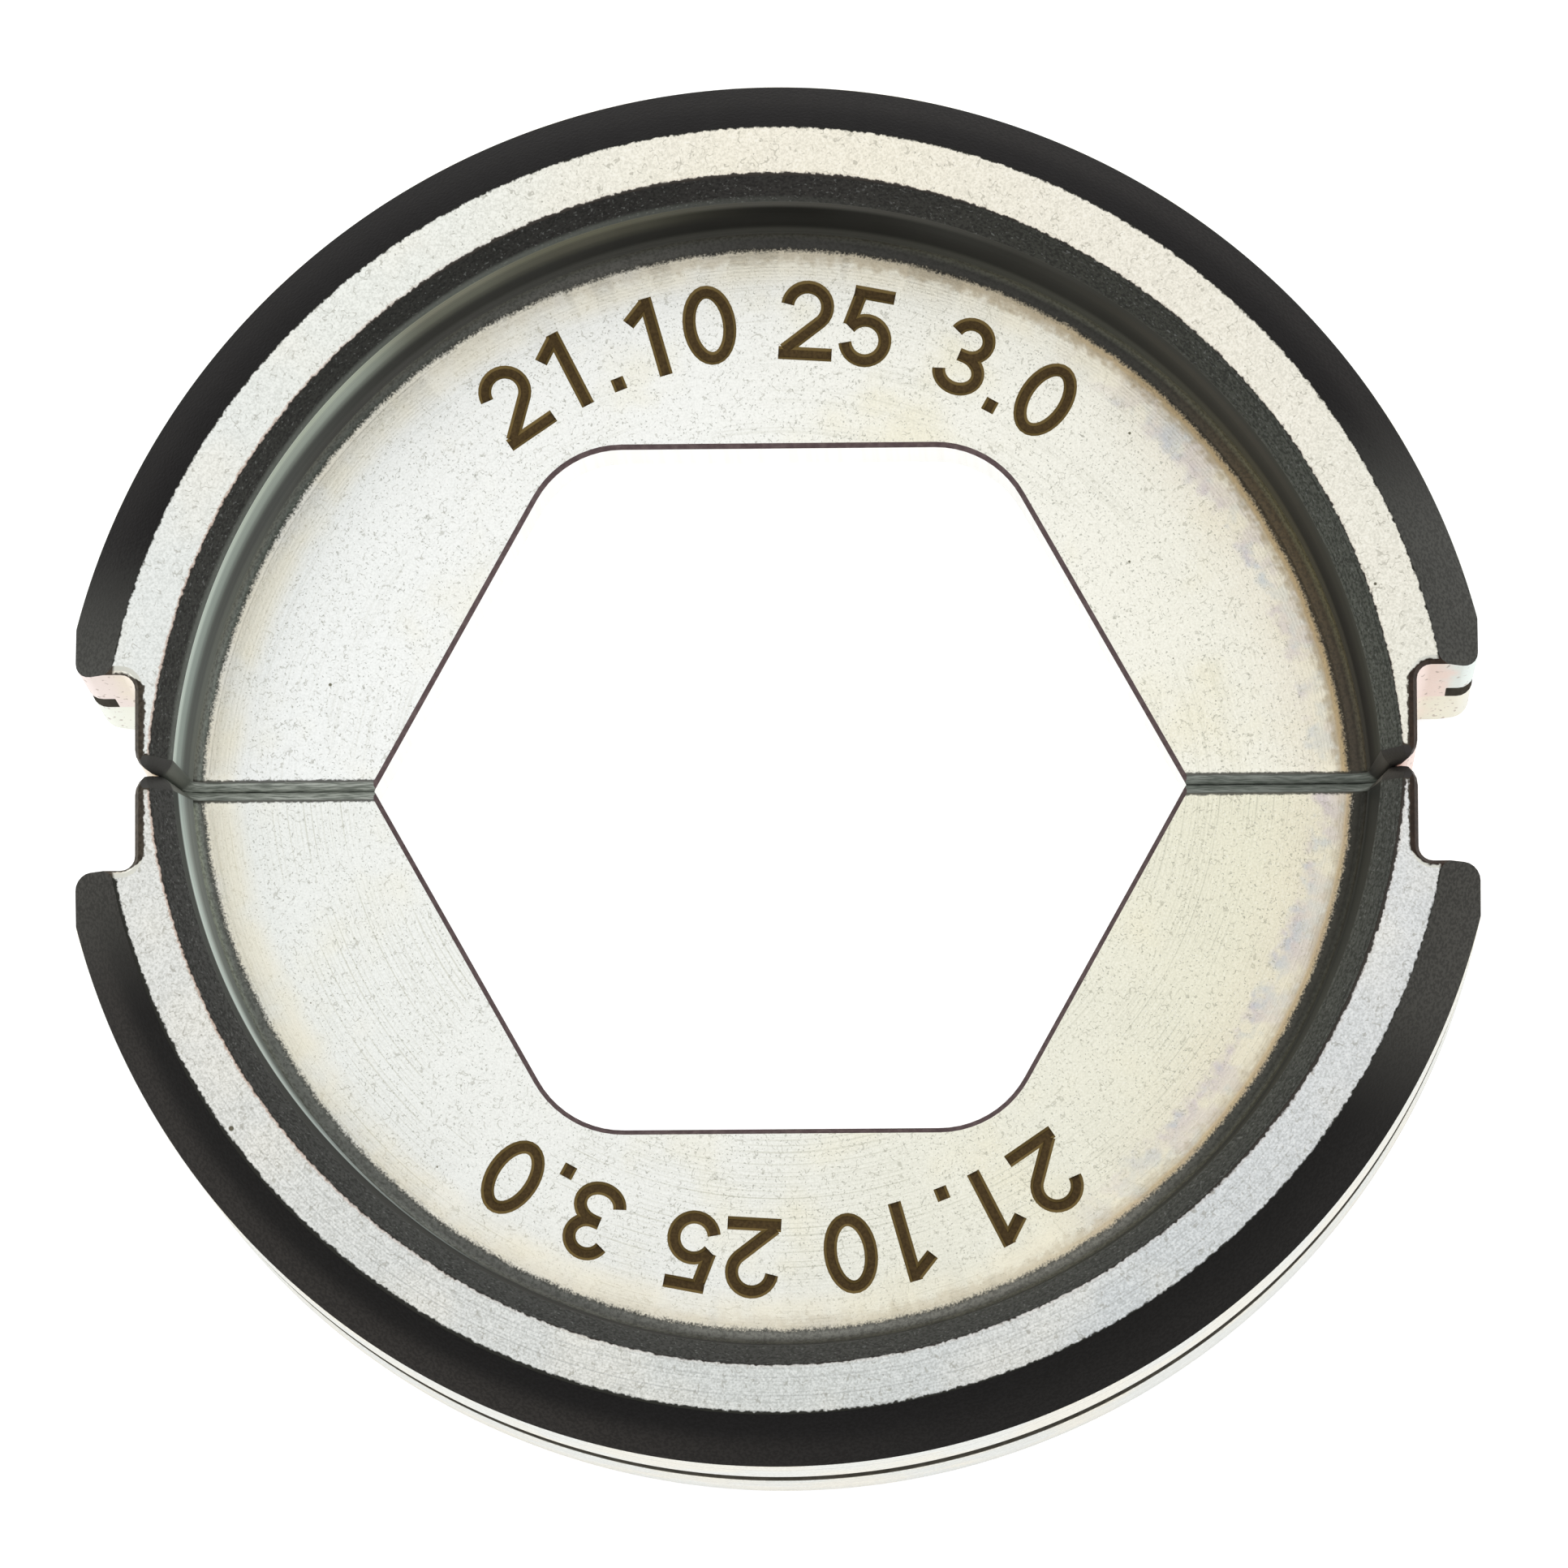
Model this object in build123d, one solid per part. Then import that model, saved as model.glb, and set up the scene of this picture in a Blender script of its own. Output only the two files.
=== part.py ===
"""Crimping die: two like half-round steel inserts that close on a hexagonal cavity.

The axis of the cavity is Z. The halves meet on the plane Y = 0, the parting line runs along X,
and the rear rim lies on Z = 0. All sizes are in millimetres.
"""

from build123d import *
import os

# The turned ring that both halves are sawn from, with its seat in the press head
SEAT_RADIUS = 22.1
DIE_THICKNESS = 14.0
OUTER_BEVEL_WIDTH = 1.5
OUTER_BEVEL_DEPTH = 1.6
GROOVE_WIDTH = 2.0
GROOVE_DEPTH = 1.2

# Rim faces and the round recess inside them, the same at the front and the rear
RIM_FACE_WIDTH = 1.5
INNER_BEVEL_WIDTH = 0.65
INNER_BEVEL_DEPTH = 1.0
RECESS_WALL_SLOPE = 0.35
RECESS_FOOT_RADIUS = 0.5
WEB_THICKNESS = 3.4

# Cuts that turn the ring into two halves, which lose the saw gap between them
SAW_GAP = 1.8
SIDE_FLAT_CUT = 0.7
NOTCH_DEPTH = 1.9
NOTCH_HEIGHT = 3.0
NOTCH_INNER_RADIUS = 0.45
NOTCH_OUTER_RADIUS = 0.5
NOTCH_EDGE_BREAK = 0.25
PARTING_CORNER_RADIUS = 0.7
RIM_END_BEVEL = 0.5
PARTING_EDGE_BREAK = 0.28

# Hexagonal cavity that presses the connector
CAVITY_CORNER_SPAN = 25.0
CAVITY_FLAT_SPAN = 21.1
CAVITY_FLAT_LENGTH = 13.2
CAVITY_CORNER_RADIUS = 3.0
CAVITY_EDGE_BREAK = 0.15

# Radii and places worked out from the sizes above
rim_outer_radius = SEAT_RADIUS - OUTER_BEVEL_WIDTH
rim_inner_radius = rim_outer_radius - RIM_FACE_WIDTH
recess_mouth_radius = rim_inner_radius - INNER_BEVEL_WIDTH
recess_foot_radius = recess_mouth_radius - RECESS_WALL_SLOPE
groove_floor_radius = SEAT_RADIUS - GROOVE_DEPTH
groove_rear = (DIE_THICKNESS - GROOVE_WIDTH) / 2
web_rear = (DIE_THICKNESS - WEB_THICKNESS) / 2
web_front = web_rear + WEB_THICKNESS
side_flat_x = SEAT_RADIUS - SIDE_FLAT_CUT
notch_wall_x = side_flat_x - NOTCH_DEPTH

# How close two measures are when they are the same place
SAME = 1e-5


def corners_at(sketch, x, y):
    """The corners of a sketch at (x, y) and at its mirror image (-x, y)."""
    return [v for v in sketch.vertices() if abs(abs(v.X) - x) < SAME and abs(v.Y - y) < SAME]


def ring_section():
    """Section of the turned ring: radius across, height along the axis, web closed to the axis."""
    rear = [
        (0, web_rear),
        (recess_foot_radius, web_rear),
        (recess_mouth_radius, INNER_BEVEL_DEPTH),
        (rim_inner_radius, 0),
        (rim_outer_radius, 0),
        (SEAT_RADIUS, OUTER_BEVEL_DEPTH),
        (SEAT_RADIUS, groove_rear),
        (groove_floor_radius, groove_rear),
    ]
    front = [(radius, DIE_THICKNESS - height) for radius, height in reversed(rear)]
    section = make_face(Polyline(*rear, *front, close=True))
    rear_foot = corners_at(section, recess_foot_radius, web_rear)
    front_foot = corners_at(section, recess_foot_radius, web_front)
    return fillet(rear_foot + front_foot, RECESS_FOOT_RADIUS)


def turned_ring():
    """The whole ring, its axis half a saw gap below the parting plane of the upper half."""
    ring = revolve(Plane.XZ * ring_section(), Axis.Z)
    return Pos(0, -SAW_GAP / 2, 0) * ring


def half_outline():
    """Plan outline of the upper half: parting plane, notches and side flats, clear of the seat above."""
    above = 2 * SEAT_RADIUS
    right = [
        (notch_wall_x, 0),
        (notch_wall_x, NOTCH_HEIGHT),
        (side_flat_x, NOTCH_HEIGHT),
        (side_flat_x, above),
    ]
    left = [(-x, y) for x, y in reversed(right)]
    outline = make_face(Polyline(*right, *left, close=True))
    outline = fillet(corners_at(outline, notch_wall_x, 0), PARTING_CORNER_RADIUS)
    outline = fillet(corners_at(outline, notch_wall_x, NOTCH_HEIGHT), NOTCH_INNER_RADIUS)
    return fillet(corners_at(outline, side_flat_x, NOTCH_HEIGHT), NOTCH_OUTER_RADIUS)


def half_blank():
    """Prism on the plan outline, its edges broken where the notches cut the rim faces."""
    prism = extrude(half_outline(), DIE_THICKNESS)
    ends = prism.faces().filter_by(Axis.Z)
    return chamfer(ends.edges(), NOTCH_EDGE_BREAK)


def cavity_prism():
    """Hexagonal prism through both halves, its corners sharp only on the parting plane."""
    corner_x = CAVITY_CORNER_SPAN / 2
    flat_x = CAVITY_FLAT_LENGTH / 2
    flat_y = CAVITY_FLAT_SPAN / 2
    corners = [
        (corner_x, 0),
        (flat_x, flat_y),
        (-flat_x, flat_y),
        (-corner_x, 0),
        (-flat_x, -flat_y),
        (flat_x, -flat_y),
    ]
    hexagon = make_face(Polyline(*corners, close=True))
    rounded = corners_at(hexagon, flat_x, flat_y) + corners_at(hexagon, flat_x, -flat_y)
    return extrude(fillet(rounded, CAVITY_CORNER_RADIUS), DIE_THICKNESS)


def within_rim_ends(edge):
    """Whether an edge lies where the bevels of the rim ends take it away."""
    span = edge.bounding_box()
    return span.max.Z < RIM_END_BEVEL or span.min.Z > DIE_THICKNESS - RIM_END_BEVEL


def parting_edges(half):
    """Edges of the parting faces in the recesses and on the web, the cavity's own edge apart."""
    parting = half.faces().filter_by(Axis.Y).filter_by(lambda face: abs(face.center().Y) < SAME)
    crossing = parting.edges().filter_by(lambda edge: edge.bounding_box().size.X > SAME)
    return crossing.filter_by(lambda edge: not within_rim_ends(edge))


def rim_end_block():
    """Block on the parting plane, larger than the half, bevelled where the ends of the rims lie."""
    length = 3 * SEAT_RADIUS
    side = Pos(length / 2, DIE_THICKNESS / 2) * Rectangle(length, DIE_THICKNESS)
    side = chamfer(side.vertices().filter_by(lambda corner: corner.X < SAME), RIM_END_BEVEL)
    return extrude(Plane.YZ * side, length, both=True)


def cavity_edges(half, prism):
    """Edges where the cavity leaves the front and rear faces of the web."""
    level = half.edges().filter_by(lambda edge: edge.bounding_box().size.Z < SAME)
    return level.filter_by(lambda edge: prism.distance_to(edge.position_at(0.5)) < SAME)


def die_half():
    """The upper die half."""
    prism = cavity_prism()
    half = (turned_ring() & half_blank()) - prism
    half = chamfer(parting_edges(half), PARTING_EDGE_BREAK)
    half = chamfer(cavity_edges(half, prism), CAVITY_EDGE_BREAK)
    return half & rim_end_block()


upper_die_half = die_half()
lower_die_half = upper_die_half.rotate(Axis.Z, 180)

os.makedirs("parts", exist_ok=True)
export_step(upper_die_half, "parts/upper_die_half.step")
export_step(lower_die_half, "parts/lower_die_half.step")
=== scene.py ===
"""Looks of the crimping die: two plated steel halves that close on a hexagonal cavity.

Each half is turned, sawn and milled steel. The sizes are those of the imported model, in millimetres,
and every mesh is scaled to metres as it is made.
"""

import math

import bmesh
import bpy
from mathutils import Matrix, Vector, noise

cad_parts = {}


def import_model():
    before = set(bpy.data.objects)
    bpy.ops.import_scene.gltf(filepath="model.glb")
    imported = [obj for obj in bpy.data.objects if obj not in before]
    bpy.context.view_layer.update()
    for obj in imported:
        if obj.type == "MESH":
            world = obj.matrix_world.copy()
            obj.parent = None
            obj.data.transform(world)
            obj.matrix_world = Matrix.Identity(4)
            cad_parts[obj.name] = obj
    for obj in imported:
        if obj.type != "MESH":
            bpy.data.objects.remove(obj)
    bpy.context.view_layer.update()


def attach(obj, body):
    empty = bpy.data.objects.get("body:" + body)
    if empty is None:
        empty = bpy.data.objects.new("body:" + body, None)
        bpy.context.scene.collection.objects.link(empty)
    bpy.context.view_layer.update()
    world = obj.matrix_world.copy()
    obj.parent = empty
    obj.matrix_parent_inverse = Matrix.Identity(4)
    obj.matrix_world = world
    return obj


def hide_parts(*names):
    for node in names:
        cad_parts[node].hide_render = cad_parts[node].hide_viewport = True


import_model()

MM = 0.001

# The turned ring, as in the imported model
SEAT_RADIUS = 22.1
THICKNESS = 14.0
OUTER_BEVEL_WIDTH = 1.5
OUTER_BEVEL_DEPTH = 1.6
GROOVE_WIDTH = 2.0
GROOVE_DEPTH = 1.2
RIM_FACE_WIDTH = 1.5
INNER_BEVEL_WIDTH = 0.65
INNER_BEVEL_DEPTH = 1.0
RECESS_WALL_SLOPE = 0.35
RECESS_FOOT_RADIUS = 0.5
WEB_THICKNESS = 3.4

# Cuts that turn the ring into two halves
SAW_GAP = 1.8
SIDE_FLAT_CUT = 0.7
NOTCH_DEPTH = 1.9
NOTCH_HEIGHT = 3.0
NOTCH_INNER_RADIUS = 0.45
NOTCH_OUTER_RADIUS = 0.5
NOTCH_EDGE_BREAK = 0.25
PARTING_CORNER_RADIUS = 0.7
RIM_END_BEVEL = 0.5
PARTING_EDGE_BREAK = 0.28

# Hexagonal cavity
CAVITY_CORNER_SPAN = 25.0
CAVITY_FLAT_SPAN = 21.1
CAVITY_FLAT_LENGTH = 13.2
CAVITY_CORNER_RADIUS = 3.0
CAVITY_EDGE_BREAK = 0.15

# Places worked out from the sizes: radii from the ring's axis, heights from its middle plane
rim_outer = SEAT_RADIUS - OUTER_BEVEL_WIDTH
rim_inner = rim_outer - RIM_FACE_WIDTH
recess_mouth = rim_inner - INNER_BEVEL_WIDTH
recess_foot = recess_mouth - RECESS_WALL_SLOPE
web_edge = recess_foot - RECESS_FOOT_RADIUS
groove_floor = SEAT_RADIUS - GROOVE_DEPTH
rim_height = THICKNESS / 2
mouth_height = rim_height - INNER_BEVEL_DEPTH
web_height = WEB_THICKNESS / 2
axis_drop = SAW_GAP / 2
side_flat_x = SEAT_RADIUS - SIDE_FLAT_CUT
notch_wall_x = side_flat_x - NOTCH_DEPTH

# How finely the halves are meshed
STATIONS = 480
ARC_STEPS = 5
ARC_DEGREES = 12
BORE_RADIUS = 9.0
EDGE_ROUNDING = 0.06
EDGE_WOBBLE = 0.012
CUTTER_SKEW = 0.004
SMOOTH_ANGLE = math.radians(28)

# Engraved sizes of the cavity: each number, and the angle of its middle round the ring
MARKS = (("21.10", 111.3), ("25", 82.7), ("3.0", 61.0))
MARK_RADIUS = 13.3
MARK_HEIGHT = 2.5
MARK_STROKE = 0.41
MARK_DEPTH = 0.1
MARK_SLOPE = 0.1
MARK_PITCH_RADIUS = 15.0


def tone(red, green, blue):
    """A colour given as it looks on screen, from 0 to 255, in the linear form that shaders take."""
    channels = [value / 255 for value in (red, green, blue)]
    linear = [c / 12.92 if c <= 0.04045 else ((c + 0.055) / 1.055) ** 2.4 for c in channels]
    return (*linear, 1.0)


# Tones and sizes that several finishes share
PARTING_LINE = tone(70, 70, 64)
TURNED_DARK = tone(44, 44, 42)
FINE_GRAIN = 0.065


class Paint:
    """A material's nodes, with short ways to add them. Places are in millimetres from the ring's axis."""

    def __init__(self, name, roughness=0.42, metallic=1.0):
        self.material = bpy.data.materials.new(name)
        self.material.use_nodes = True
        self.tree = self.material.node_tree
        self.shader = self.tree.nodes["Principled BSDF"]
        self.shader.inputs["Metallic"].default_value = metallic
        self.shader.inputs["Roughness"].default_value = roughness
        coordinates = self.tree.nodes.new("ShaderNodeTexCoord").outputs["Object"]
        scaled = self.vector("MULTIPLY", coordinates, (1 / MM, 1 / MM, 1 / MM))
        self.place = self.vector("SUBTRACT", scaled, (0, 0, rim_height))
        apart = self.tree.nodes.new("ShaderNodeSeparateXYZ")
        self.feed(self.place, apart.inputs[0])
        self.x, self.y, self.z = apart.outputs
        self.radius = self.math("SQRT", self.math("ADD", self.math("MULTIPLY", self.x, self.x),
                                                  self.math("MULTIPLY", self.y, self.y)))
        self.angle = self.math("ARCTAN2", self.y, self.x)

    def feed(self, value, socket):
        """Joins a socket to another, or sets it to a plain value."""
        if isinstance(value, bpy.types.NodeSocket):
            self.tree.links.new(value, socket)
        else:
            socket.default_value = value

    def vector(self, operation, first, second):
        node = self.tree.nodes.new("ShaderNodeVectorMath")
        node.operation = operation
        self.feed(first, node.inputs[0])
        self.feed(second, node.inputs[1])
        return node.outputs[0]

    def math(self, operation, first, second=0.0):
        node = self.tree.nodes.new("ShaderNodeMath")
        node.operation = operation
        self.feed(first, node.inputs[0])
        self.feed(second, node.inputs[1])
        return node.outputs[0]

    def joined(self, x, y, z):
        """A place from its three parts, any of which may be a plain value."""
        node = self.tree.nodes.new("ShaderNodeCombineXYZ")
        for value, socket in zip((x, y, z), node.inputs):
            self.feed(value, socket)
        return node.outputs[0]

    def step(self, value, start, end, low=0.0, high=1.0):
        """A smooth step from low to high as the value goes from start to end."""
        node = self.tree.nodes.new("ShaderNodeMapRange")
        node.interpolation_type = "SMOOTHSTEP"
        for given, socket in zip((value, start, end, low, high), node.inputs):
            self.feed(given, socket)
        return node.outputs[0]

    def shifts(self, value, changes, total):
        """A total with smooth changes: each is an amount gained as the value goes from start to end."""
        for start, end, amount in changes:
            total = self.math("ADD", total, self.step(value, start, end, 0, amount))
        return total

    def noise(self, size, detail=2.0, seed=0.0, place=None):
        """Noise from 0 to 1 whose features are about size millimetres across."""
        node = self.tree.nodes.new("ShaderNodeTexNoise")
        node.noise_dimensions = "4D"
        self.feed(self.place if place is None else place, node.inputs["Vector"])
        node.inputs["W"].default_value = seed
        node.inputs["Scale"].default_value = 1 / size
        node.inputs["Detail"].default_value = detail
        return node.outputs["Fac"]

    def ragged(self, size, detail, seed, spread, place=None):
        """Noise centred on 0, with its lowest and highest values a spread apart."""
        centred = self.math("SUBTRACT", self.noise(size, detail, seed, place), 0.5)
        return self.math("MULTIPLY", centred, spread)

    def rings(self, size, detail, seed):
        """Noise from 0 to 1 that changes only with the radius, as turning marks do."""
        return self.noise(size, detail, seed, self.joined(self.radius, 0.0, 0.0))

    def ticks(self, size, seed, low):
        """Short fine curved marks, 0 to 1: level lines of one noise, kept where another is above low."""
        level = self.math("ABSOLUTE", self.math("SUBTRACT", self.noise(size, 1, seed), 0.5))
        kept = self.step(self.noise(size * 0.7, 0, seed + 0.5), low, low + 0.08)
        return self.math("MULTIPLY", self.step(level, 0.035, 0.01), kept)

    def spots(self, apart, radius, share, seed):
        """Round spots, 0 to 1, on a face across the axis: a share of the cells apart wide hold one."""
        node = self.tree.nodes.new("ShaderNodeTexVoronoi")
        node.voronoi_dimensions = "2D"
        self.feed(self.vector("ADD", self.place, (seed, seed, 0)), node.inputs["Vector"])
        node.inputs["Scale"].default_value = 1 / apart
        drawn = self.tree.nodes.new("ShaderNodeSeparateColor")
        self.feed(node.outputs["Color"], drawn.inputs[0])
        size = self.math("MULTIPLY", drawn.outputs[1], radius / apart)
        spot = self.step(self.math("SUBTRACT", node.outputs["Distance"], size), 0.01, -0.01)
        return self.math("MULTIPLY", spot, self.math("LESS_THAN", drawn.outputs[0], share))

    def ramp(self, value, stops):
        """Colour that follows a value through stops, each a value and a colour as seen on screen."""
        first, last = stops[0][0], stops[-1][0]
        node = self.tree.nodes.new("ShaderNodeValToRGB")
        node.color_ramp.interpolation = "EASE"
        share = self.math("DIVIDE", self.math("SUBTRACT", value, first), last - first)
        self.feed(share, node.inputs[0])
        elements = node.color_ramp.elements
        for place, colour in stops[1:-1]:
            elements.new((place - first) / (last - first)).color = tone(*colour)
        elements[0].color = tone(*stops[0][1])
        elements[-1].color = tone(*stops[-1][1])
        return node.outputs[0]

    def blend(self, factor, low, high, kind="MIX"):
        node = self.tree.nodes.new("ShaderNodeMix")
        node.data_type = "RGBA"
        node.blend_type = kind
        self.feed(factor, node.inputs["Factor"])
        self.feed(low, node.inputs[6])
        self.feed(high, node.inputs[7])
        return node.outputs[2]

    def bump(self, height, depth, strength=1.0):
        node = self.tree.nodes.new("ShaderNodeBump")
        node.inputs["Strength"].default_value = strength
        node.inputs["Distance"].default_value = depth * MM
        self.feed(height, node.inputs["Height"])
        self.feed(node.outputs["Normal"], self.shader.inputs["Normal"])

    def finish(self, colour):
        self.feed(colour, self.shader.inputs["Base Color"])
        return self.material


def relief(paint, colour, seed, contrast=0.5):
    """Colour with the fine matt grain of the plating, a little darker and lighter from point to point:
    partly the grain's own tone, partly painted shade and highlight of its fine relief.
    """
    fine = paint.noise(FINE_GRAIN, 2, seed)
    shaded = paint.blend(contrast, colour, tone(150, 150, 142), "MULTIPLY")
    colour = paint.blend(paint.step(fine, 0.34, 0.6), shaded, colour)
    return paint.blend(paint.step(fine, 0.55, 0.72, 0, 0.3), colour, tone(252, 252, 248))


def rim_finish(half, stops, contrast, marks):
    """Bright flat rim face: grained plating with turning marks, ticks, specks and a few spots."""
    paint = Paint(half + "_rim_face", roughness=0.5)
    seed = 1.0 if half == "upper" else 7.0
    colour = paint.ramp(paint.x, stops)
    patches = paint.step(paint.noise(3.0, 2, seed + 1), 0.42, 0.7, 0, 0.4)
    colour = paint.blend(patches, colour, tone(246, 242, 230))
    rings = paint.rings(0.07, 2, seed + 4)
    worn = paint.math("MULTIPLY", paint.step(rings, 0.48, 0.66), paint.step(paint.y, -4, -17, 0, marks))
    colour = paint.blend(worn, colour, tone(178, 180, 178))
    colour = relief(paint, colour, seed, contrast)
    ticks = paint.math("MULTIPLY", paint.ticks(0.28, seed + 7, 0.55), 0.38)
    colour = paint.blend(ticks, colour, tone(132, 128, 112))
    specks = paint.step(paint.noise(0.1, 1, seed + 3), 0.66, 0.76, 0, 0.55)
    colour = paint.blend(specks, colour, tone(124, 122, 112))
    colour = paint.blend(paint.spots(1.6, 0.08, 0.07, seed), colour, tone(104, 100, 86))
    paint.bump(paint.noise(FINE_GRAIN, 2, 3), 0.008)
    return paint.finish(rim_edges(paint, colour, half, seed))


def rim_edges(paint, colour, half, seed):
    """The dark bevels biting into a rim face, with a rusty line beside the inner one on the left. The dark
    bites are painted shade, like the bevels' own near-black.
    """
    ragged = paint.ragged(0.14, 2, seed + 2, 0.2)
    place = paint.math("ADD", paint.radius, ragged)
    if half == "upper":
        left_of_top = paint.step(paint.angle, 1.0, 1.6, 0, 0.065)
        bitten_inside = paint.math("MULTIPLY", paint.step(paint.y, 13, 18), left_of_top)
        bitten_outside = 0.0
    else:
        bitten_inside = paint.step(paint.x, 10, 17, 0, 0.07)
        bitten_outside = paint.step(paint.x, 14, -12, 0, 0.075)
    inner = paint.math("SUBTRACT", place, bitten_inside)
    outer = paint.math("ADD", place, bitten_outside)
    left = paint.step(paint.x, -8, -17, 0.1, 0.6)
    rust = paint.math("MULTIPLY", paint.step(inner, rim_inner + 0.11, rim_inner + 0.05), left)
    colour = paint.blend(rust, colour, tone(186, 150, 128))
    # Dark bites of both bevels into the face: painted shade, as on the bevels
    colour = paint.blend(paint.step(outer, rim_outer - 0.06, rim_outer), colour, tone(52, 52, 48))
    colour = paint.blend(paint.step(inner, rim_inner + 0.05, rim_inner), colour, tone(66, 62, 58))
    return rim_end_shade(paint, colour, ragged)


def rim_end_shade(paint, colour, ragged):
    """The dark edges of the notch and of the parting plane, rough where they meet the rim face."""
    along = paint.math("ADD", paint.math("ABSOLUTE", paint.y), ragged)
    tip = axis_drop + RIM_END_BEVEL
    dark = paint.math("MAXIMUM", notch_shade(paint, ragged), paint.step(along, tip + 0.09, tip + 0.03))
    return paint.blend(dark, colour, tone(76, 70, 62))


def notch_shade(paint, ragged):
    """Where the edge of a notch is dark, 0 to 1: wide along its wall, narrow along its step."""
    corner_x = notch_wall_x + NOTCH_INNER_RADIUS
    corner_y = axis_drop + NOTCH_HEIGHT - NOTCH_INNER_RADIUS
    beside = paint.math("SUBTRACT", corner_x, paint.math("ABSOLUTE", paint.x))
    beside = paint.math("MAXIMUM", beside, 0.0)
    above = paint.math("SUBTRACT", paint.math("ABSOLUTE", paint.y), corner_y)
    above = paint.math("MAXIMUM", above, 0.0)
    away = paint.math("SQRT", paint.math("ADD", paint.math("MULTIPLY", beside, beside),
                                         paint.math("MULTIPLY", above, above)))
    step_width = paint.step(paint.x, -5, 5, 0.06, 0.16)
    width = paint.step(above, NOTCH_INNER_RADIUS, 0.0, step_width, 0.3)
    past = paint.math("SUBTRACT", paint.math("ADD", away, ragged), width)
    return paint.step(past, NOTCH_INNER_RADIUS + 0.03, NOTCH_INNER_RADIUS - 0.03)


def outer_bevel_finish(half, stops, ends, pale_right, pale_left):
    """Near-black outer bevel, paler outwards and where it runs out at the notches. Its near-black is
    painted shade of the dark surroundings that the sloping face reflects, and its paler outer part is
    painted light.
    """
    paint = Paint(half + "_outer_bevel", roughness=0.5)
    fine = paint.noise(0.1, 2, 11)
    mottle = paint.math("MULTIPLY", paint.math("SUBTRACT", fine, 0.5), 3.0)
    away = paint.math("ADD", paint.math("ABSOLUTE", paint.y), mottle)
    near = paint.math("SUBTRACT", away, paint.step(paint.x, -10, 10, 0, 3.6))
    palest = paint.step(paint.x, 8, -10, pale_right, pale_left)
    outward = paint.step(paint.radius, rim_outer + 0.4, rim_outer + 1.1, 0, palest)
    # Near-black round the ring, paler outwards: painted shade and painted light of the sloping face
    colour = paint.blend(outward, paint.ramp(paint.x, stops), tone(60, 57, 54))
    colour = paint.blend(paint.step(near, 8.6, 4.2), colour, ends)
    colour = paint.blend(paint.step(fine, 0.4, 0.6, 0.4, 0), colour, tone(24, 23, 22))
    paint.bump(fine, 0.008)
    return paint.finish(colour)


def inner_bevel_finish(half, stops, lip):
    """Charcoal inner bevel: finely mottled, with faint turning marks and, on the left, a paler lip. The
    charcoal is painted shade of the dark surroundings it reflects, and the paler lip is a painted
    highlight.
    """
    paint = Paint(half + "_inner_bevel", roughness=0.5)
    colour = paint.ramp(paint.x, stops)
    mottle = paint.step(paint.noise(0.1, 2, 21), 0.38, 0.58, 0.6, 0)
    colour = paint.blend(mottle, colour, TURNED_DARK)
    turned = paint.rings(0.06, 1, 24)
    lines = paint.math("MULTIPLY", paint.step(turned, 0.52, 0.66), paint.step(paint.x, 2, 16, 0.1, 0.6))
    colour = paint.blend(lines, colour, tone(50, 51, 49))
    pale = paint.step(paint.noise(0.11, 1, 22), 0.6, 0.74, 0, 0.55)
    colour = paint.blend(pale, colour, tone(148, 150, 147))
    # Paler lip by the mouth on the left: a painted highlight
    close = paint.step(paint.radius, recess_mouth + 0.18, recess_mouth + 0.06)
    paler = paint.math("MULTIPLY", close, paint.step(paint.x, 6, -10, 0, lip))
    colour = paint.blend(paler, colour, tone(150, 156, 148))
    paint.bump(paint.noise(0.1, 2, 23), 0.01)
    return paint.finish(colour)


def wall_finish(half, foot, bands, sink):
    """Recess wall: its colour round the ring at the foot, and in bands from one height to another.

    The bands start lower by sink away from the left end. All these colours are painted light and shade: the
    pale bands on the left are painted highlights, the dark parts painted shade.
    """
    # Little metal and no specular, so that the painted light and shade shows as written
    paint = Paint(half + "_recess_wall", roughness=0.45, metallic=0.2)
    paint.shader.inputs["Specular IOR Level"].default_value = 0.0
    side = paint.math("DIVIDE", paint.x, recess_mouth)
    height = paint.math("ADD", paint.math("ABSOLUTE", paint.z), paint.step(side, -1.0, -0.6, 0, sink))
    colour = paint.ramp(side, foot)
    for start, end, stops in bands:
        colour = paint.blend(paint.step(height, start, end), colour, paint.ramp(side, stops))
    turned = paint.noise(0.09, 2, 31, paint.joined(0.0, 0.0, paint.z))
    colour = paint.blend(paint.step(turned, 0.38, 0.62, 0.12, 0), colour, TURNED_DARK)
    paint.bump(turned, 0.006)
    return paint.finish(colour)


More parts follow.
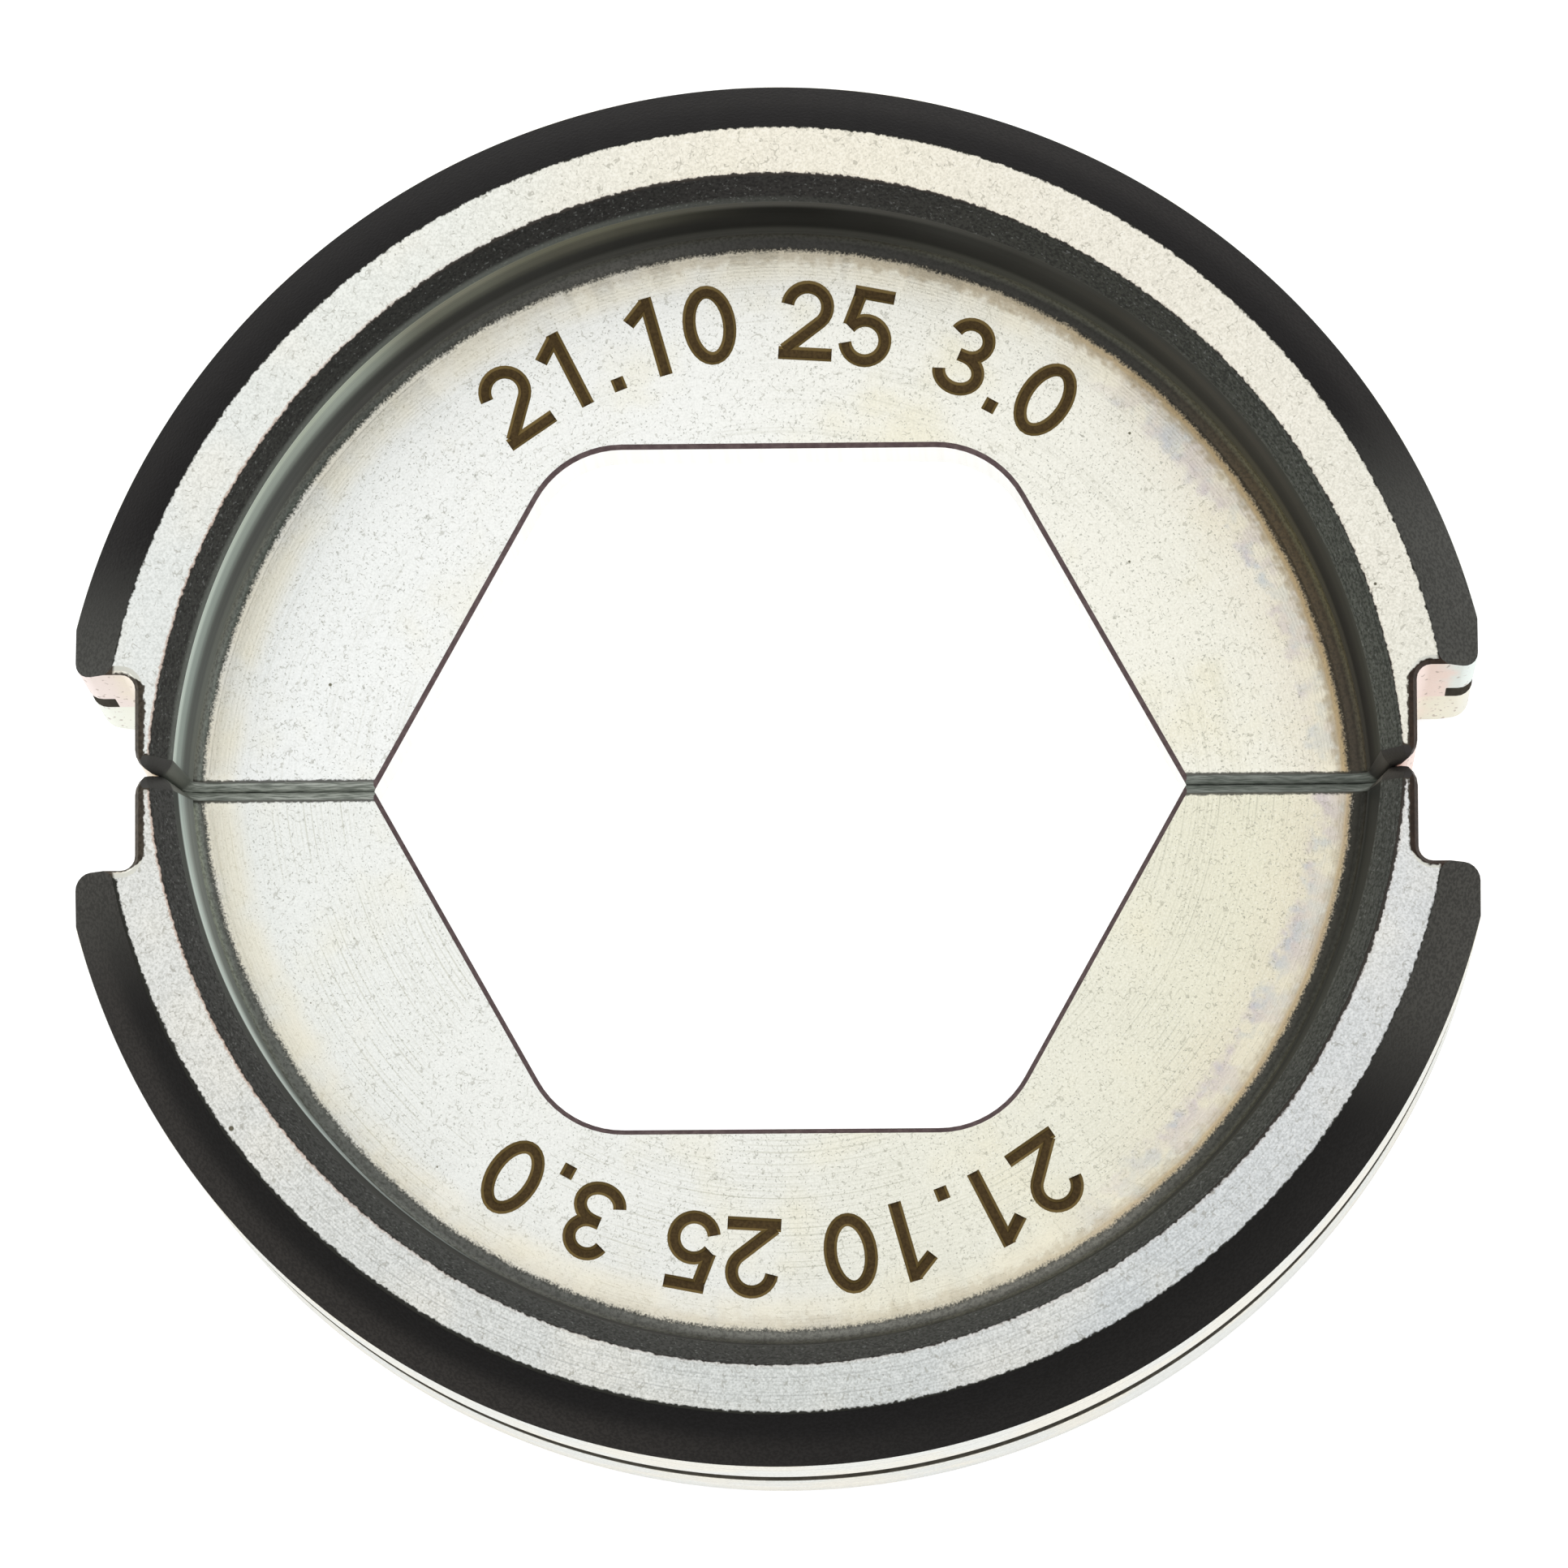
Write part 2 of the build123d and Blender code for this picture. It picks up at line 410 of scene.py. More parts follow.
def web_finish(half, stops, seed, marks, foot):
    """Bright web: grained and tinted, with ticks and turning marks, painted shade at the foot and dark at
    the parting.
    """
    paint = Paint(half + "_web", roughness=0.46)
    colour = paint.ramp(paint.x, stops)
    most = paint.step(paint.x, -12, 4, 0.35, 0.65)
    cream = paint.step(paint.noise(3.4, 3, seed + 1), 0.5, 0.72, 0, most)
    colour = paint.blend(cream, colour, tone(243, 238, 214))
    rings = paint.rings(0.075, 2, seed + 2)
    patchy = paint.step(paint.noise(2.6, 1, seed + 4), 0.4, 0.62, 0, marks)
    lines = paint.math("MULTIPLY", paint.step(rings, 0.48, 0.68), patchy)
    colour = paint.blend(lines, colour, tone(190, 190, 172))
    colour = tinted_side(paint, colour, seed)
    colour = relief(paint, colour, seed, 0.12)
    ticks = paint.math("MULTIPLY", paint.ticks(0.25, seed + 7, 0.55), 0.36)
    colour = paint.blend(ticks, colour, tone(140, 138, 120))
    specks = paint.step(paint.noise(0.07, 1, seed + 3), 0.62, 0.71, 0, 0.5)
    colour = paint.blend(specks, colour, tone(128, 129, 116))
    colour = paint.blend(paint.spots(1.3, 0.055, 0.06, seed), colour, tone(118, 116, 100))
    colour = foot_shade(paint, colour, seed, *foot)
    colour = parting_shade(paint, colour, seed)
    paint.bump(paint.math("ADD", paint.noise(0.1, 2, seed), rings), 0.008)
    return paint.finish(colour)


def parting_shade(paint, colour, seed):
    """A thin rough dark line on the web, along the broken edge at the parting plane."""
    ragged = paint.math("MULTIPLY", paint.noise(0.11, 2, seed + 13), 0.14)
    along = paint.math("ADD", paint.math("ABSOLUTE", paint.y), ragged)
    edge = axis_drop + PARTING_EDGE_BREAK
    return paint.blend(paint.step(along, edge + 0.17, edge + 0.11, 0, 0.9), colour, PARTING_LINE)


def tinted_side(paint, colour, seed):
    """Heat-like peach, lilac and blue tints close to the foot on the right."""
    place = paint.math("ADD", paint.radius, paint.ragged(0.35, 3, seed + 10, 1.2))
    right = paint.step(paint.x, 8.0, 13.0)
    wide = paint.math("MULTIPLY", right, paint.step(place, web_edge - 3.0, web_edge - 0.8, 0, 0.3))
    near = paint.math("MULTIPLY", right, paint.step(place, web_edge - 1.4, web_edge - 0.8))
    colour = paint.blend(wide, colour, tone(244, 231, 208))
    cloud = paint.noise(1.0, 3, seed + 8)
    lilac = paint.math("MULTIPLY", near, paint.step(cloud, 0.42, 0.58, 0, 0.8))
    colour = paint.blend(lilac, colour, tone(206, 194, 202))
    blue = paint.math("MULTIPLY", near, paint.step(paint.noise(0.7, 3, seed + 9), 0.48, 0.62, 0, 0.7))
    return paint.blend(blue, colour, tone(194, 205, 214))


def foot_shade(paint, colour, seed, inset, changes, halo, inner, outer):
    """The change from bright web to dark foot: soft halos, a speckled edge and a shaded fillet.

    The edge lies inset from the fillet's own, and changes move it from one side to the other. The fillet's
    tones round the ring, paler on the left and darker in the crease, are painted light and shade.
    """
    side = paint.math("DIVIDE", paint.x, recess_mouth)
    waves = paint.ragged(0.7, 2, seed + 5, 0.12)
    place = paint.math("ADD", paint.math("ADD", paint.radius, waves), paint.shifts(side, changes, inset))
    speckled_place = paint.math("ADD", place, paint.ragged(0.06, 2, seed + 11, 0.36))
    patchy_place = paint.math("ADD", place, paint.ragged(0.24, 3, seed + 14, 0.8))
    uneven = paint.step(paint.noise(1.8, 2, seed + 12), 0.3, 0.6, 0.3, 1)
    cream = paint.math("MULTIPLY", paint.step(place, web_edge - 1.3, web_edge - 0.5, 0, 0.6), uneven)
    colour = paint.blend(cream, colour, tone(247, 240, 217))
    most = paint.step(side, -0.7, 0.6, 0.1, halo)
    beige = paint.step(patchy_place, web_edge - 0.5, web_edge - 0.1, 0, most)
    colour = paint.blend(beige, colour, tone(184, 168, 138))
    near_edge = paint.math("ABSOLUTE", paint.math("SUBTRACT", place, web_edge - 0.04))
    golden = paint.math("MULTIPLY", paint.step(near_edge, 0.16, 0.03), paint.step(paint.x, 6, 13, 0, 0.5))
    colour = paint.blend(golden, colour, tone(202, 172, 118))
    # Fillet tones round the ring: painted light and shade
    climb = paint.step(paint.radius, web_edge + 0.28, web_edge + 0.46)
    fillet = paint.blend(climb, paint.ramp(side, inner), paint.ramp(side, outer))
    speckled = paint.step(paint.noise(0.09, 2, seed + 6), 0.36, 0.6, 0.4, 0)
    fillet = paint.blend(speckled, fillet, tone(52, 52, 48))
    # Darker close to the web's edge, in the crease: painted shade
    painted_crease_shade = paint.step(place, web_edge + 0.2, web_edge + 0.08, 0, 0.5)
    fillet = paint.blend(painted_crease_shade, fillet, tone(56, 55, 50))
    return paint.blend(paint.step(speckled_place, web_edge - 0.05, web_edge + 0.12), colour, fillet)


def seat_finish():
    """Outer seat: bright plating over fine turning marks."""
    paint = Paint("seat", roughness=0.36)
    turned = paint.noise(0.08, 3, 41, paint.joined(0.0, 0.0, paint.z))
    clouds = paint.step(paint.noise(2.4, 2, 42), 0.4, 0.65)
    colour = paint.blend(clouds, tone(216, 218, 213), tone(224, 220, 206))
    colour = relief(paint, colour, 43, 0.3)
    colour = paint.blend(paint.step(turned, 0.48, 0.66, 0, 0.6), colour, tone(150, 150, 142))
    paint.bump(turned, 0.012)
    return paint.finish(colour)


def groove_finish():
    """Groove in the seat: darker than the seat."""
    paint = Paint("groove", roughness=0.5)
    colour = paint.blend(paint.noise(0.3, 3, 51), tone(60, 56, 50), tone(112, 108, 98))
    paint.bump(paint.noise(0.1, 3, 52), 0.01)
    return paint.finish(colour)


def cut_finish():
    """Milled notch faces and side flats: cream, pink and cool white plating with brown specks."""
    paint = Paint("cut_faces", roughness=0.45)
    drawn_out = paint.joined(paint.x, paint.y, paint.math("MULTIPLY", paint.z, 0.3))
    place = paint.math("ADD", paint.x, paint.ragged(0.9, 2, 61, 1.6, drawn_out))
    front = paint.ramp(place, ((-22, (228, 214, 208)), (-20.6, (230, 216, 212)), (-19.6, (232, 222, 206)),
                               (19.4, (228, 208, 200)), (20.3, (229, 211, 202)), (20.8, (214, 224, 220)),
                               (22, (216, 226, 222))))
    rear = paint.ramp(place, ((-22, (228, 232, 224)), (-19.6, (232, 232, 220)), (19.4, (230, 214, 200)),
                              (20.4, (226, 224, 206)), (22, (222, 222, 214))))
    colour = paint.blend(paint.step(paint.z, -0.9, -1.1), front, rear)
    specks = paint.step(paint.noise(0.17, 1, 62, drawn_out), 0.62, 0.72, 0, 0.65)
    colour = paint.blend(specks, colour, tone(138, 112, 98))
    paint.bump(paint.noise(0.14, 3, 63), 0.012)
    return paint.finish(colour)


def notch_break_finish():
    """Broken edges of the notches: dark brown beside the notch, painted shade like the bevels', and plated
    like the rim above its step.
    """
    paint = Paint("notch_break", roughness=0.5)
    fine = paint.noise(0.12, 2, 71)
    brown = paint.blend(paint.step(paint.x, -8, 8), tone(84, 77, 67), tone(66, 55, 48))
    brown = paint.blend(paint.step(fine, 0.4, 0.62, 0.5, 0), brown, tone(44, 40, 37))
    ragged = paint.math("MULTIPLY", paint.math("SUBTRACT", fine, 0.5), 0.14)
    past_rim = paint.step(paint.radius, rim_outer - 0.1, rim_outer)
    # Where the break is painted dark brown: painted shade beside the notch and past the rim
    shaded_share = paint.math("MAXIMUM", notch_shade(paint, ragged), past_rim)
    paint.bump(paint.noise(0.1, 3, 72), 0.01)
    return paint.finish(paint.blend(shaded_share, tone(236, 236, 226), brown))


def parting_break_finish():
    """Broken edges of the parting plane: grey-green streaks on the web, darker up to the rims, where the
    dark is painted shade like the bevels'.
    """
    paint = Paint("parting_break", roughness=0.5, metallic=0.2)
    right = paint.step(paint.x, -13, 13)
    streaks = paint.noise(0.5, 2, 73, paint.joined(paint.x, paint.math("MULTIPLY", paint.y, 14.0), paint.z))
    web = paint.blend(paint.step(streaks, 0.36, 0.64), tone(130, 136, 127), tone(202, 207, 198))
    web = paint.blend(paint.math("MULTIPLY", right, 0.5), web, tone(96, 104, 96))
    top = axis_drop + PARTING_EDGE_BREAK
    line = paint.step(paint.math("ABSOLUTE", paint.y), top - 0.06, top, 0, 0.6)
    web = paint.blend(line, web, PARTING_LINE)
    # Darker tones up towards the rims: painted shade, like the bevels'
    wall = paint.blend(right, tone(100, 104, 96), tone(52, 49, 46))
    tip = paint.blend(right, tone(64, 63, 60), tone(48, 44, 41))
    height = paint.math("ABSOLUTE", paint.z)
    colour = paint.blend(paint.step(height, web_height + 0.1, web_height + 0.6), web, wall)
    colour = paint.blend(paint.step(height, mouth_height - 0.5, mouth_height), colour, tip)
    paint.bump(paint.noise(0.1, 2, 75), 0.01)
    return paint.finish(colour)


def cavity_break_finish():
    """Broken edge of the cavity: purple-brown."""
    paint = Paint("cavity_break", roughness=0.5)
    clouds = paint.step(paint.noise(0.2, 3, 76), 0.35, 0.7)
    colour = paint.blend(clouds, tone(122, 104, 105), tone(142, 124, 124))
    paint.bump(paint.noise(0.1, 3, 77), 0.01)
    return paint.finish(colour)


def cavity_finish():
    """Smooth bright walls of the cavity."""
    paint = Paint("cavity_wall", roughness=0.3)
    milled = paint.noise(0.25, 2, 81, paint.joined(paint.x, paint.y, 0.0))
    colour = paint.blend(paint.step(milled, 0.4, 0.65), tone(250, 249, 246), tone(245, 244, 239))
    paint.bump(milled, 0.006)
    return paint.finish(colour)


def marking_finish():
    """Burnt brown floor and olive sides of the engraved figures."""
    paint = Paint("engraved_figures", roughness=0.6, metallic=0.1)
    paint.shader.inputs["Specular IOR Level"].default_value = 0.1
    burnt = paint.step(paint.noise(0.1, 2, 91), 0.35, 0.65)
    floor = paint.blend(burnt, tone(77, 61, 37), tone(94, 76, 47))
    depth = paint.math("SUBTRACT", web_height, paint.z)
    colour = paint.blend(paint.step(depth, MARK_DEPTH, MARK_DEPTH * 0.7), floor, tone(138, 117, 72))
    paint.bump(paint.noise(0.08, 3, 92), 0.01)
    return paint.finish(colour)


def rounded(corners, steps=ARC_STEPS):
    """Outline through corners (x, y, radius), each corner with a radius drawn as an arc."""
    points = []
    for number, (x, y, radius) in enumerate(corners):
        corner = Vector((x, y))
        if not radius:
            points.append(corner)
            continue
        before = (Vector(corners[number - 1][:2]) - corner).normalized()
        after = (Vector(corners[(number + 1) % len(corners)][:2]) - corner).normalized()
        half_angle = before.angle(after) / 2
        centre = corner + (before + after).normalized() * radius / math.sin(half_angle)
        reach = radius / math.tan(half_angle)
        first = corner + before * reach - centre
        turn = first.angle_signed(corner + after * reach - centre)
        for step in range(steps + 1):
            points.append(centre + Matrix.Rotation(-turn * step / steps, 2) @ first)
    return points


def end_break(radius, height):
    """How far the edge at the parting plane is broken: most on the rims, least on the web."""
    share = (abs(height) - web_height) / (rim_height - web_height)
    return PARTING_EDGE_BREAK + (RIM_END_BEVEL - PARTING_EDGE_BREAK) * max(0.0, share)


def shrunk(corners, share):
    """Corners of the section, each side moved into the metal by a share of its edge break."""
    moved = []
    sides = list(zip(corners, corners[1:] + corners[:1]))
    widths = [share * end_break((a[0] + b[0]) / 2, (a[1] + b[1]) / 2) for a, b in sides]
    for number, (x, y, radius) in enumerate(corners):
        corner = Vector((x, y))
        before = (corner - Vector(corners[number - 1][:2])).normalized()
        after = (Vector(corners[(number + 1) % len(corners)][:2]) - corner).normalized()
        turn = before.cross(after)
        corner += (before * widths[number] - after * widths[number - 1]) / turn
        width = (widths[number] + widths[number - 1]) / 2
        moved.append((*corner, max(radius - width, radius / 4) if turn < 0 else radius + width))
    return moved


def section(share=0.0):
    """Closed section of the ring: radius across, height from the middle plane up."""
    rounding = EDGE_ROUNDING
    front = [
        (BORE_RADIUS, web_height, rounding),
        (recess_foot, web_height, RECESS_FOOT_RADIUS),
        (recess_mouth, mouth_height, rounding),
        (rim_inner, rim_height, rounding),
        (rim_outer, rim_height, rounding),
        (SEAT_RADIUS, rim_height - OUTER_BEVEL_DEPTH, rounding),
        (SEAT_RADIUS, GROOVE_WIDTH / 2, rounding),
        (groove_floor, GROOVE_WIDTH / 2, rounding),
    ]
    rear = [(radius, -height, arc) for radius, height, arc in reversed(front)]
    return rounded(shrunk(front + rear, share))


def region_at(radius, height):
    """Which finish the section has at a point."""
    height = abs(height)
    close = EDGE_ROUNDING / 2
    if height > rim_height - close / 2:
        return "rim_face"
    if radius > SEAT_RADIUS - close:
        return "seat"
    if radius > groove_floor - close and height < GROOVE_WIDTH / 2 + close:
        return "groove"
    if radius > rim_outer - close:
        return "outer_bevel"
    if height > mouth_height - close:
        return "inner_bevel"
    if height > web_height + RECESS_FOOT_RADIUS * 0.7:
        return "recess_wall"
    return "web"


def wobble(radius, height, angle):
    """Small unevenness of the rim's edges."""
    if abs(height) < rim_height - EDGE_ROUNDING:
        return radius
    return radius + EDGE_WOBBLE * noise.noise(Vector((angle * 90, radius * 4, height)))


# Shape of a broken edge: shares of its width off the parting plane and into the metal
BREAK_PROFILE = ((0.0, 1.0), (0.2, 0.58), (0.58, 0.2))


def end_stations(points, side):
    """Rings of points at one end of a half, from the parting plane up to the unbroken section."""
    stations = []
    for off, into in BREAK_PROFILE:
        ring = []
        for point, (radius, height) in zip(points, section(into)):
            y = axis_drop + end_break(*point) * off
            ring.append(Vector((side * math.sqrt(radius ** 2 - y ** 2), y, height)))
        stations.append(ring)
    return stations


def arc_stations(points):
    """Rings of points round a half, from just above one parting edge to the other."""
    stations = []
    for step in range(STATIONS + 1):
        ring = []
        for radius, height in points:
            start = math.asin((axis_drop + end_break(radius, height)) / radius)
            angle = start + (math.pi - 2 * start) * step / STATIONS
            reach = wobble(radius, height, angle)
            ring.append(Vector((reach * math.cos(angle), reach * math.sin(angle), height)))
        stations.append(ring)
    return stations


def loft(name, stations, kinds, materials, closed=False):
    """Closed mesh through rings of points. kinds(station, place) gives each face's material."""
    work = bmesh.new()
    rings = [[work.verts.new(point) for point in ring] for ring in stations]
    ends = [] if closed else [(0, rings[0]), (len(rings) - 1, rings[-1])]
    for number, ring in ends:
        work.faces.new(ring).material_index = kinds(number, None)
    if closed:
        rings.append(rings[0])
    count = len(rings[0])
    for number in range(len(rings) - 1):
        for place in range(count):
            after = (place + 1) % count
            corners = (rings[number][place], rings[number][after],
                       rings[number + 1][after], rings[number + 1][place])
            work.faces.new(corners).material_index = kinds(number, place)
    bmesh.ops.recalc_face_normals(work, faces=work.faces)
    mesh = bpy.data.meshes.new(name)
    work.to_mesh(mesh)
    work.free()
    for material in materials:
        mesh.materials.append(material)
    return mesh


def ring_mesh(finishes):
    """The upper half's ring, its ends broken at the parting plane."""
    points = section()
    names = list(finishes)
    middles = [(point + points[(n + 1) % len(points)]) / 2 for n, point in enumerate(points)]
    regions = [names.index(region_at(*middle)) for middle in middles]
    right = end_stations(points, 1)
    left = end_stations(points, -1)
    stations = right + arc_stations(points) + left[::-1]
    ends = len(BREAK_PROFILE)

    def kinds(station, place):
        if place is None:
            return names.index("cut_faces")
        if station < ends or station >= len(stations) - 1 - ends:
            return names.index("parting_break")
        return regions[place]

    return loft("ring", stations, kinds, finishes.values())


def blank_outline(inset):
    """Plan outline of the upper half, clear of the ring above, from the ring's axis."""
    wall = notch_wall_x - inset
    flat = side_flat_x - inset
    height = NOTCH_HEIGHT + inset + axis_drop
    corner = PARTING_CORNER_RADIUS
    clear = 2 * SEAT_RADIUS
    low = axis_drop - CUTTER_SKEW
    tip = notch_wall_x - corner - CUTTER_SKEW
    right = [
        (tip, -1.0, 0),
        (tip, low, 0),
        (wall, low, corner - inset),
        (wall, height, NOTCH_INNER_RADIUS + inset),
        (flat, height, NOTCH_OUTER_RADIUS - inset),
        (flat, clear, 0),
    ]
    left = [(-x, y, radius) for x, y, radius in reversed(right)]
    return rounded(right + left)


def blank_mesh(finishes):
    """Block on the plan outline, its front and rear edges broken."""
    size = NOTCH_EDGE_BREAK
    levels = [(rim_height + 1.0, size), (rim_height, size), (rim_height - 0.3 * size, 0.45 * size),
              (rim_height - size, 0.0)]
    levels += [(-height, inset) for height, inset in reversed(levels)]
    stations = [[Vector((x, y, height)) for x, y in blank_outline(inset)] for height, inset in levels]
    wall_level = 3

    def kinds(station, place):
        return 0 if station == wall_level else 1

    return loft("blank", stations, kinds, (finishes["cut_faces"], finishes["notch_break"]))


def cavity_outline(spread):
    """Hexagon of the cavity, made larger by spread, from the ring's axis."""
    corner_x = CAVITY_CORNER_SPAN / 2
    flat_x = CAVITY_FLAT_LENGTH / 2
    flat_y = CAVITY_FLAT_SPAN / 2
    slant = math.atan2(flat_y, corner_x - flat_x)
    tip_x = corner_x + spread / math.sin(slant)
    top_y = flat_y + spread
    top_x = tip_x - top_y / math.tan(slant)
    arc = CAVITY_CORNER_RADIUS + spread
    corners = [(tip_x, 0, 0), (top_x, top_y, arc), (-top_x, top_y, arc),
               (-tip_x, 0, 0), (-top_x, -top_y, arc), (top_x, -top_y, arc)]
    return rounded([(x, y + axis_drop, radius) for x, y, radius in corners], 2 * ARC_STEPS)


def cavity_mesh(finishes):
    """Hexagonal cutter, flared where it leaves the web so that the edges come out broken."""
    size = CAVITY_EDGE_BREAK
    clear = 1.0
    levels = [(web_height + clear, size + clear), (web_height - size, 0.0)]
    levels += [(-height, spread) for height, spread in reversed(levels)]
    stations = [[Vector((x, y, height)) for x, y in cavity_outline(spread)] for height, spread in levels]

    def kinds(station, place):
        return 0 if station == 1 else 1

    return loft("cavity", stations, kinds, (finishes["cavity_wall"], finishes["cavity_break"]))


def arc(x, y, across, up, start, end):
    """Points of an oval arc round (x, y), from one angle to another in degrees."""
    count = round(abs(end - start) / ARC_DEGREES)
    turns = [math.radians(start + (end - start) * step / count) for step in range(count + 1)]
    return [(x + across * math.cos(turn), y + up * math.sin(turn)) for turn in turns]


# Figures: the width each takes, and the centre lines of its strokes, in shares of the figures' height
HALF_STROKE = MARK_STROKE / MARK_HEIGHT / 2
REACH = 0.33 - HALF_STROKE
TOP = 1 - HALF_STROKE
BOWL = (0.5 - HALF_STROKE) / 2
FIGURES = {
    ".": (0.39, [[(0, 0), (0, 2 * HALF_STROKE)]]),
    "0": (0.777, [arc(0, 0.5, REACH, 0.5 - HALF_STROKE, 0, 360)]),
    "1": (0.777, [[(0.07, 0), (0.07, 1)], [(-0.21, 0.74), (0.05, 0.93)]]),
    "2": (0.777, [arc(0, TOP - REACH, REACH, REACH, 175, -45) + [(-0.26, 0.12)],
                  [(-0.33, HALF_STROKE), (0.33, HALF_STROKE)]]),
    "3": (0.777, [arc(0, TOP - BOWL, 0.22, BOWL, 165, -90) + [(-0.08, 0.5)],
                  arc(0, HALF_STROKE + BOWL, REACH, BOWL, 90, -168)]),
    "5": (0.777, [[(0.27, TOP), (-0.235, TOP)], [(-0.15, 0.9), (-0.225, 0.49)],
                  arc(0, 0.335, REACH, 0.335 - HALF_STROKE, 150, -165)]),
}


def stroke_mesh(line, angle, finishes):
    """Cutter for one stroke of a figure: a channel along its centre line, narrower at its floor."""
    points = [Vector(point) * MARK_HEIGHT for point in line]
    closed = (points[0] - points[-1]).length < CUTTER_SKEW
    if closed:
        points.pop()
    clear = MARK_DEPTH / 2
    slope = MARK_SLOPE / MARK_DEPTH
    turn = Matrix.Rotation(math.radians(angle - 90), 4, "Z")
    place = Matrix.Translation((0, axis_drop, web_height)) @ turn @ Matrix.Translation((0, MARK_RADIUS, 0))
    stations = []
    for number, point in enumerate(points):
        before = points[number - 1] if number or closed else point
        after = points[(number + 1) % len(points)] if number < len(points) - 1 or closed else point
        side = (after - before).normalized().orthogonal() * MARK_STROKE / 2
        ring = []
        for share, height in ((1, clear), (1, -MARK_DEPTH), (-1, -MARK_DEPTH), (-1, clear)):
            reach = point + side * share * (1 + slope * height / side.length)
            ring.append(place @ Vector((*reach, height)))
        stations.append(ring)
    return loft("stroke", stations, lambda station, side: 0, [finishes["engraved_figures"]], closed)


def figure_places(text, middle):
    """Each figure of a number with the angle of its middle, the number centred on an angle."""
    widths = [math.degrees(FIGURES[figure][0] * MARK_HEIGHT / MARK_PITCH_RADIUS) for figure in text]
    start = middle + sum(widths) / 2
    for number, figure in enumerate(text):
        yield figure, start - sum(widths[:number]) - widths[number] / 2


def cut(mesh, operation, cutter):
    """Result of a solid operation between two meshes, with the cutter's finish on the new faces."""
    scene = bpy.context.scene
    body = bpy.data.objects.new("body", mesh)
    tool = bpy.data.objects.new("tool", cutter)
    scene.collection.objects.link(body)
    scene.collection.objects.link(tool)
    modifier = body.modifiers.new("cut", "BOOLEAN")
    modifier.operation = operation
    modifier.object = tool
    modifier.solver = "EXACT"
    modifier.material_mode = "TRANSFER"
    result = bpy.data.meshes.new_from_object(body.evaluated_get(bpy.context.evaluated_depsgraph_get()))
    bpy.data.objects.remove(body)
    bpy.data.objects.remove(tool)
    return result


def half_mesh(finishes):
    """The upper half, with its figures engraved in the front of the web."""
    mesh = cut(ring_mesh(finishes), "INTERSECT", blank_mesh(finishes))
    mesh = cut(mesh, "DIFFERENCE", cavity_mesh(finishes))
    for text, middle in MARKS:
        for figure, angle in figure_places(text, middle):
            for line in FIGURES[figure][1]:
                mesh = cut(mesh, "DIFFERENCE", stroke_mesh(line, angle, finishes))
    mesh.transform(Matrix.Translation((0, 0, rim_height)))
    mesh.transform(Matrix.Scale(MM, 4))
    return mesh


def shared_finishes():
    """Finishes that both halves have."""
    return {
        "seat": seat_finish(),
        "groove": groove_finish(),
        "cut_faces": cut_finish(),
        "notch_break": notch_break_finish(),
        "parting_break": parting_break_finish(),
        "cavity_wall": cavity_finish(),
        "cavity_break": cavity_break_finish(),
        "engraved_figures": marking_finish(),
    }


